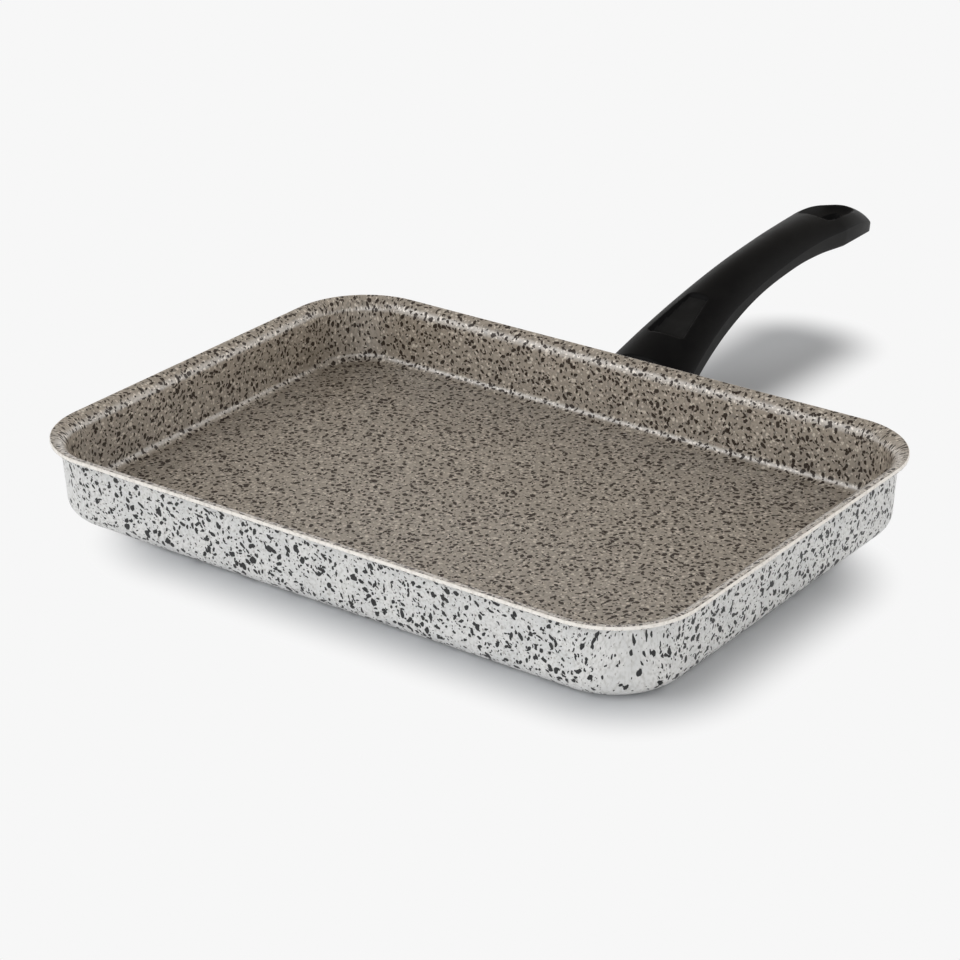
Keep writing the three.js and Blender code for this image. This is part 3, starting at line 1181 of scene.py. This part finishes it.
@dataclass
class HandleBoss:
    """The block welded behind the back wall, with its threaded bush."""

    neck: Neck
    pan: PanShell
    node: str = "handle_boss"
    bush_node: str = "thread_insert"
    chamfer: float = 0.0005
    groove: float = 0.00022

    def build(self, finish: bpy.types.Material) -> bpy.types.Object:
        """Builds and dresses the block.

        Args:
            finish: Its aluminium.

        Returns:
            The piece.
        """
        low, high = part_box(self.node)
        bush_low, bush_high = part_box(self.bush_node)
        neck, chamfer = self.neck, self.chamfer
        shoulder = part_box("flame_guard")[1].y - neck.guard_sheet
        bore = circle((bush_high.x - bush_low.x) / 2 + neck.room, 4 * (neck.steps + 1))
        bore_end = min(bush_low.y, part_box("handle_screw")[0].y) - neck.room
        block, eased = (neck.block(low, high, neck.corner, inset) for inset in (0.0, chamfer))
        rings = [neck.ring(block, self.pan.behind(neck.room))]
        rings += neck.flat_rings([
            (block, shoulder - chamfer),
            (eased, shoulder),
            (neck.outline(), shoulder),
            (neck.outline(), high.y - chamfer),
            (neck.outline(-chamfer), high.y),
            (bore, high.y),
            (bore, bore_end),
        ])
        return Form.lofted(rings).piece(self.node, "boss_block", "bare_aluminium", finish)

    def build_bush(self, finish: bpy.types.Material) -> bpy.types.Object:
        """Builds and dresses the threaded bush.

        Args:
            finish: Its steel.

        Returns:
            The piece.
        """
        low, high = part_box(self.bush_node)
        outer, inner, chamfer = (high.x - low.x) / 2, self.neck.screw_hole / 2, self.chamfer / 2
        mouth = inner + 2 * chamfer
        rings = self.neck.turned([
            (outer - chamfer, low.y),
            (outer, low.y + chamfer),
            (outer, high.y - chamfer),
            (outer - chamfer, high.y),
            (mouth, high.y),
        ])
        rings += self.neck.threaded(inner + self.groove, inner, (high.y, low.y))
        rings += self.neck.turned([(mouth, low.y)])
        return Form.lofted(rings, looped=True).piece(self.bush_node, "threaded_bush", "zinc_steel", finish)


@dataclass
class ScrewSet:
    """The screw that holds the handle, with its flat washer and its split lock washer."""

    neck: Neck
    node: str = "handle_screw"
    flat_node: str = "flat_washer"
    lock_node: str = "lock_washer"
    shank: float = 0.005
    thread_depth: float = 0.00045
    tip_slope: float = 0.25  # how fast the thread grows from the screw's tip
    plain: float = 0.004  # shank without a thread, under the head
    head_height: float = 0.0034
    head_turn: float = 0.9  # share of a quarter turn that the head's rounded top takes
    head_steps: int = 10
    recess_span: float = 0.0046
    recess_slot: float = 0.0011
    recess_depth: float = 0.0016
    recess_foot: Pair = (0.6, 0.8)  # span and slot at the recess's foot, as shares of those at its top
    washer_round: float = 0.00012
    split: float = 0.001
    split_lift: float = 0.0001  # how far the split's ends stand apart along the screw, each way

    def recess(self, top: float) -> Form:
        """The cutter for the cross recess, which goes on over the head as it widens.

        Args:
            top: The Y of the head's top.

        Returns:
            The cutter.
        """
        foot_span, foot_slot = self.recess_foot
        turns = [(1, 0), (0, 1), (-1, 0), (0, -1)]
        levels: list[Level] = []
        for side in (-1, 1):
            span = self.recess_span / 2 * (1 + side * (1 - foot_span))
            slot = self.recess_slot / 2 * (1 + side * (1 - foot_slot))
            arm = [(span, slot), (slot, slot), (slot, span)]
            cross = [(c * x - s * z, s * x + c * z) for c, s in turns for x, z in arm]
            levels.append((cross, top + side * self.recess_depth))
        return Form.lofted(self.neck.flat_rings(levels))

    def build_screw(self, finish: bpy.types.Material) -> bpy.types.Object:
        """Builds and dresses the screw.

        Args:
            finish: Its steel.

        Returns:
            The piece.
        """
        low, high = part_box(self.node)
        crest, head = self.shank / 2, (high.x - low.x) / 2
        core = crest - self.thread_depth
        head_foot = high.y - self.head_height
        plain_from = head_foot - self.plain
        half = self.head_height / 2
        dome = arc((0, head_foot + half), (head, half), (0, self.head_turn * QUARTER), self.head_steps)
        rings = self.neck.turned([(core - self.thread_depth, low.y)])
        rings += self.neck.threaded(crest, core, (low.y, plain_from), self.tip_slope)
        rings += self.neck.turned([
            (crest, plain_from),
            (crest, head_foot),
            (head - self.washer_round, head_foot),
            *dome,
        ])
        form = Form.lofted(rings).carved([self.recess(high.y)])
        return form.piece(self.node, "cross_head_screw", "zinc_steel", finish)

    def build_flat(self, finish: bpy.types.Material) -> bpy.types.Object:
        """Builds and dresses the flat washer.

        Args:
            finish: Its steel.

        Returns:
            The piece.
        """
        low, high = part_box(self.flat_node)
        outer, inner, soft = (high.x - low.x) / 2, self.neck.screw_hole / 2, self.washer_round
        rings = self.neck.turned([
            (outer - soft, low.y),
            (outer, low.y + soft),
            (outer, high.y - soft),
            (outer - soft, high.y),
            (inner + soft, high.y),
            (inner, high.y - soft),
            (inner, low.y + soft),
            (inner + soft, low.y),
        ])
        return Form.lofted(rings, looped=True).piece(self.flat_node, "washer_flat", "zinc_steel", finish)

    def build_lock(self, finish: bpy.types.Material) -> bpy.types.Object:
        """Builds and dresses the split washer, whose ends spring apart along the screw.

        Args:
            finish: Its steel.

        Returns:
            The piece.
        """
        low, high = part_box(self.lock_node)
        neck, outer, inner = self.neck, (high.x - low.x) / 2, self.neck.screw_hole / 2
        middle, half = (low.y + high.y) / 2, (high.y - low.y) / 2 - self.split_lift
        corners = [(inner, -half), (outer, -half), (outer, half), (inner, half)]
        gap = math.asin(self.split / 2 / inner)
        rings: list[Ring] = []
        for step in range(neck.round_steps + 1):
            share = step / neck.round_steps
            angle = QUARTER + gap + (2 * math.pi - 2 * gap) * share
            lift = self.split_lift * (2 * share - 1)
            rings.append([Vector((radius * math.cos(angle), middle + lift + y,
                                  neck.axis_height + radius * math.sin(angle))) for radius, y in corners])
        return Form.lofted(rings).piece(self.lock_node, "washer_split", "zinc_steel", finish)


@dataclass(frozen=True)
class Lamp:
    """A far soft lamp. Angles are in degrees: azimuth 0 is in front and 90 to the right."""

    name: str
    azimuth: float
    elevation: float
    spread: float
    energy: float

    def build(self) -> None:
        """Hangs the lamp."""
        data = bpy.data.lights.new(self.name, "SUN")
        data.energy = self.energy
        data.angle = math.radians(self.spread)
        lamp = bpy.data.objects.new(self.name, data)
        lamp.rotation_euler = towards(self.azimuth, self.elevation).to_track_quat("Z", "Y").to_euler()
        bpy.context.scene.collection.objects.link(lamp)


class Shade(NamedTuple):
    """A patch of painted soft shade on the floor: a rectangle with rounded corners."""

    middle: Pair
    half: Pair  # half the size of the rectangle that the corners are rounded about
    rounding: float


@dataclass
class Studio:
    """A white backdrop with the object's shadow and painted shade round it, a world brightest at the
    horizon, and soft lamps.
    """

    floor_size: float = 60.0
    floor_colour: Colour = (0.9, 0.9, 0.9, 1.0)
    floor_drop: float = 0.0002
    painted_shade_colour: Colour = (0.56, 0.575, 0.595, 1.0)  # painted shade: the darker colour the floor is painted near the object, as the camera and reflections see it
    pan_shade: Shade = Shade((0.0295, -0.0305), (0.1115, 0.0505), 0.03)
    handle_shade: Shade = Shade((0.012, 0.20), (0.003, 0.073), 0.01)
    fade: float = 0.042  # over how far the painted shade turns into the backdrop
    backdrop: float = 0.93
    horizon: Colour = (2.2, 2.2, 2.2, 1.0)
    horizon_levels: Pair = (0.15, 0.3)  # heights between which the horizon turns into the dome
    front: Colour = (0.37, 0.37, 0.37, 1.0)
    back: Colour = (0.60, 0.56, 0.51, 1.0)
    front_way: Triple = (0.0, -0.95, 0.3)
    front_levels: Pair = (-0.5, 0.6)  # how far a way looks forward where the dome is back and front
    lamps: tuple[Lamp, ...] = (
        Lamp("front_left_softbox", -42, 36, 34, 0.84),
        Lamp("back_right_softbox", 143, 24, 34, 0.4),
        Lamp("front_fill", 24, 16, 40, 0.72),
    )

    def distance(self, tree: FinishTree, shade: Shade) -> Wire:
        """How far a point of the floor lies outside a patch of painted shade.

        Args:
            tree: The floor's nodes.
            shade: The patch.

        Returns:
            The distance, in metres.
        """
        none = (0, 0, 0)
        away = tree.vector("ABSOLUTE", tree.vector("SUBTRACT", tree.place(), (*shade.middle, 0)), none)
        past = tree.vector("MAXIMUM", tree.vector("SUBTRACT", away, (*shade.half, 1)), none)
        return tree.length(past) - shade.rounding

    def floor(self) -> None:
        """Lays the floor, which keeps the object's shadow, is painted darker near the object as painted
        shade, and is plain white away from it.
        """
        half = self.floor_size / 2
        form = Form()
        corners = [(-half, -half), (half, -half), (half, half), (-half, half)]
        form.mesh.faces.new([form.mesh.verts.new((x, y, -self.floor_drop)) for x, y in corners])
        floor = form.object("floor")
        material = bpy.data.materials.new("floor_paper")
        tree = FinishTree(material)
        ray = tree.node("ShaderNodeLightPath", {}, {})
        seen = ray["Is Camera Ray"].most(ray["Is Glossy Ray"]).most(ray["Is Transmission Ray"])
        lit = tree.node("ShaderNodeBsdfDiffuse", {}, {"Color": self.floor_colour})[0]
        # painted shade: near the object the camera sees the floor in this darker colour, while bounced
        # light uses the plain one
        shaded = tree.node("ShaderNodeBsdfDiffuse", {}, {"Color": self.painted_shade_colour})[0]
        paper = tree.node("ShaderNodeMixShader", {}, {0: seen, 1: lit, 2: shaded})[0]
        white = tree.node("ShaderNodeEmission", {}, {"Strength": self.backdrop})[0]
        pan, handle = self.distance(tree, self.pan_shade), self.distance(tree, self.handle_shade)
        away = pan.least(handle).ramp(0, self.fade) * seen
        shader = tree.node("ShaderNodeMixShader", {}, {0: away, 1: paper, 2: white})[0]
        tree.node("ShaderNodeOutputMaterial", {}, {"Surface": shader})
        floor.data.materials.append(material)

    def world(self) -> None:
        """Makes the world."""
        world = bpy.data.worlds.new("studio")
        bpy.context.scene.world = world
        tree = FinishTree(world)
        way = tree.node("ShaderNodeTexCoord", {}, {})["Generated"]
        settings = {"operation": "DOT_PRODUCT"}
        facing = tree.node("ShaderNodeVectorMath", settings, {0: way, 1: self.front_way})["Value"]
        dome = tree.mix(facing.ramp(*self.front_levels), self.back, self.front)
        colour = tree.mix(tree.parts(way)["Z"].ramp(*self.horizon_levels), self.horizon, dome)
        shader = tree.node("ShaderNodeBackground", {}, {"Color": colour})[0]
        tree.node("ShaderNodeOutputWorld", {}, {"Surface": shader})

    def build(self) -> None:
        """Sets up floor, world and lamps."""
        self.floor()
        self.world()
        for lamp in self.lamps:
            lamp.build()


@dataclass
class PhotoCamera:
    """A camera at the photograph's viewing angle."""

    lens: float = 108.8
    sensor: float = 36.0
    azimuth: float = 36.929
    elevation: float = 24.737
    roll: float = -0.726
    distance: float = 1.33457
    target: Triple = (0.029066, -0.035444, 0.0395)

    def build(self) -> None:
        """Makes the camera and gives it to the scene."""
        turn, roll = math.radians(self.azimuth), math.radians(self.roll)
        back = towards(self.azimuth, self.elevation)
        right = Vector((math.cos(turn), math.sin(turn), 0.0))
        up = back.cross(right)
        rolled_right = math.cos(roll) * right + math.sin(roll) * up
        rolled_up = math.cos(roll) * up - math.sin(roll) * right
        data = bpy.data.cameras.new("photo_camera")
        data.lens = self.lens
        data.sensor_width = self.sensor
        camera = bpy.data.objects.new("photo_camera", data)
        place = Vector(self.target) + back * self.distance
        basis = Matrix((rolled_right, rolled_up, back)).transposed()
        camera.matrix_world = Matrix.LocRotScale(place, basis.to_quaternion(), None)
        bpy.context.scene.collection.objects.link(camera)
        bpy.context.scene.camera = camera


def coats() -> list[bpy.types.Material]:
    """Makes the pan's finishes, in the order of its zones.

    Returns:
        The outside coat, the trimmed edge and the inside coat.
    """
    dark_grey, dark_brown = srgb(40, 40, 41), srgb(44, 33, 25)
    white, taupe = (srgb(204, 204, 203), srgb(195, 196, 196)), (srgb(148, 136, 121), srgb(138, 127, 112))
    outside = SpeckledCoat("outside_coat", *white, mottle=srgb(179, 179, 177), gloss_index=1.5, chips=(
        Chips(srgb(142, 139, 134), spacing=0.0030, least=0.0003, most=0.0010, share=0.45, stretch=2.0,
              ragged=0.0005, shift=3.1, cover=0.6, corner_loss=0.5),
        Chips(dark_grey, spacing=0.0021, least=0.0002, most=0.0006, share=0.5, stretch=2.0,
              ragged=0.0003, shift=5.7, matt=0.7, corner_loss=0.6),
        Chips(dark_grey, spacing=0.0034, least=0.0006, most=0.0017, share=0.85, stretch=2.6,
              ragged=0.0005, shift=9.3, matt=0.7, plump=1.1, wave=0.0020, patch=0.4, corner_loss=0.65),
        Chips(dark_grey, spacing=0.0046, least=0.0009, most=0.0023, share=0.8, stretch=2.8,
              ragged=0.0007, shift=14.4, matt=0.7, plump=1.2, wave=0.0024, patch=0.4, corner_loss=0.65),
    ))
    inside = SpeckledCoat("inside_coat", *taupe, mottle=srgb(112, 102, 88), gloss_index=2.2, chips=(
        Chips(srgb(96, 88, 78), spacing=0.0030, least=0.0005, most=0.0012, share=0.6, stretch=2.0,
              ragged=0.0005, shift=2.3, cover=0.7),
        Chips(srgb(204, 194, 180), spacing=0.0024, least=0.0004, most=0.0011, share=0.7, stretch=2.0,
              ragged=0.0004, shift=4.9, cover=0.85),
        Chips(dark_brown, spacing=0.0026, least=0.0004, most=0.0011, share=0.52, stretch=2.2,
              ragged=0.0004, shift=6.1, matt=0.85),
        Chips(dark_brown, spacing=0.0034, least=0.0007, most=0.0019, share=0.88, stretch=2.5,
              ragged=0.0005, shift=8.7, matt=0.85, plump=1.35),
    ))
    return [finish.build() for finish in (outside, BareEdge(), inside)]


def resins() -> list[bpy.types.Material]:
    """Makes the handle's finishes: the polished resin, and the paler one on the thumb rest."""
    rest = BlackPhenolic("thumb_rest_resin", srgb(21, 21, 21), srgb(28, 28, 28))
    return [BlackPhenolic().build(), rest.build()]


def guard_steel() -> bpy.types.Material:
    """The guard's bright sheet, brushed along the long side."""
    colours = srgb(196, 197, 198), srgb(168, 169, 171)
    return WorkedMetal("guard_steel", *colours, 0.3, (0.006, 0.0004, 0.0003)).build()


def bare_aluminium() -> bpy.types.Material:
    """The boss's cast metal, with an even grain."""
    colours = srgb(206, 206, 204), srgb(184, 184, 182)
    return WorkedMetal("bare_aluminium", *colours, 0.45, (0.0008, 0.0008, 0.0008)).build()


def zinc_steel() -> bpy.types.Material:
    """The plated steel of screw, bush and washers."""
    colours = srgb(188, 191, 194), srgb(160, 163, 165)
    return WorkedMetal("zinc_steel", *colours, 0.34, (0.0012, 0.0004, 0.0012)).build()


def main() -> None:
    """Builds the scene and every piece."""
    logging.basicConfig(level=logging.INFO, format="%(name)s: %(message)s")
    bpy.context.scene.view_settings.view_transform = "Standard"
    PhotoCamera().build()
    Studio().build()
    neck, pan, zinc = Neck(), PanShell(), zinc_steel()
    boss, screws = HandleBoss(neck, pan), ScrewSet(neck)
    pieces = [
        pan.build(coats()),
        HandleGrip(neck).build(resins()),
        FlameGuard(neck, pan).build(guard_steel()),
        boss.build(bare_aluminium()),
        boss.build_bush(zinc),
        screws.build_screw(zinc),
        screws.build_flat(zinc),
        screws.build_lock(zinc),
    ]
    for piece in pieces:
        log.info("%s has %d faces", piece.name, len(piece.data.polygons))


if __name__ == "__main__":
    main()
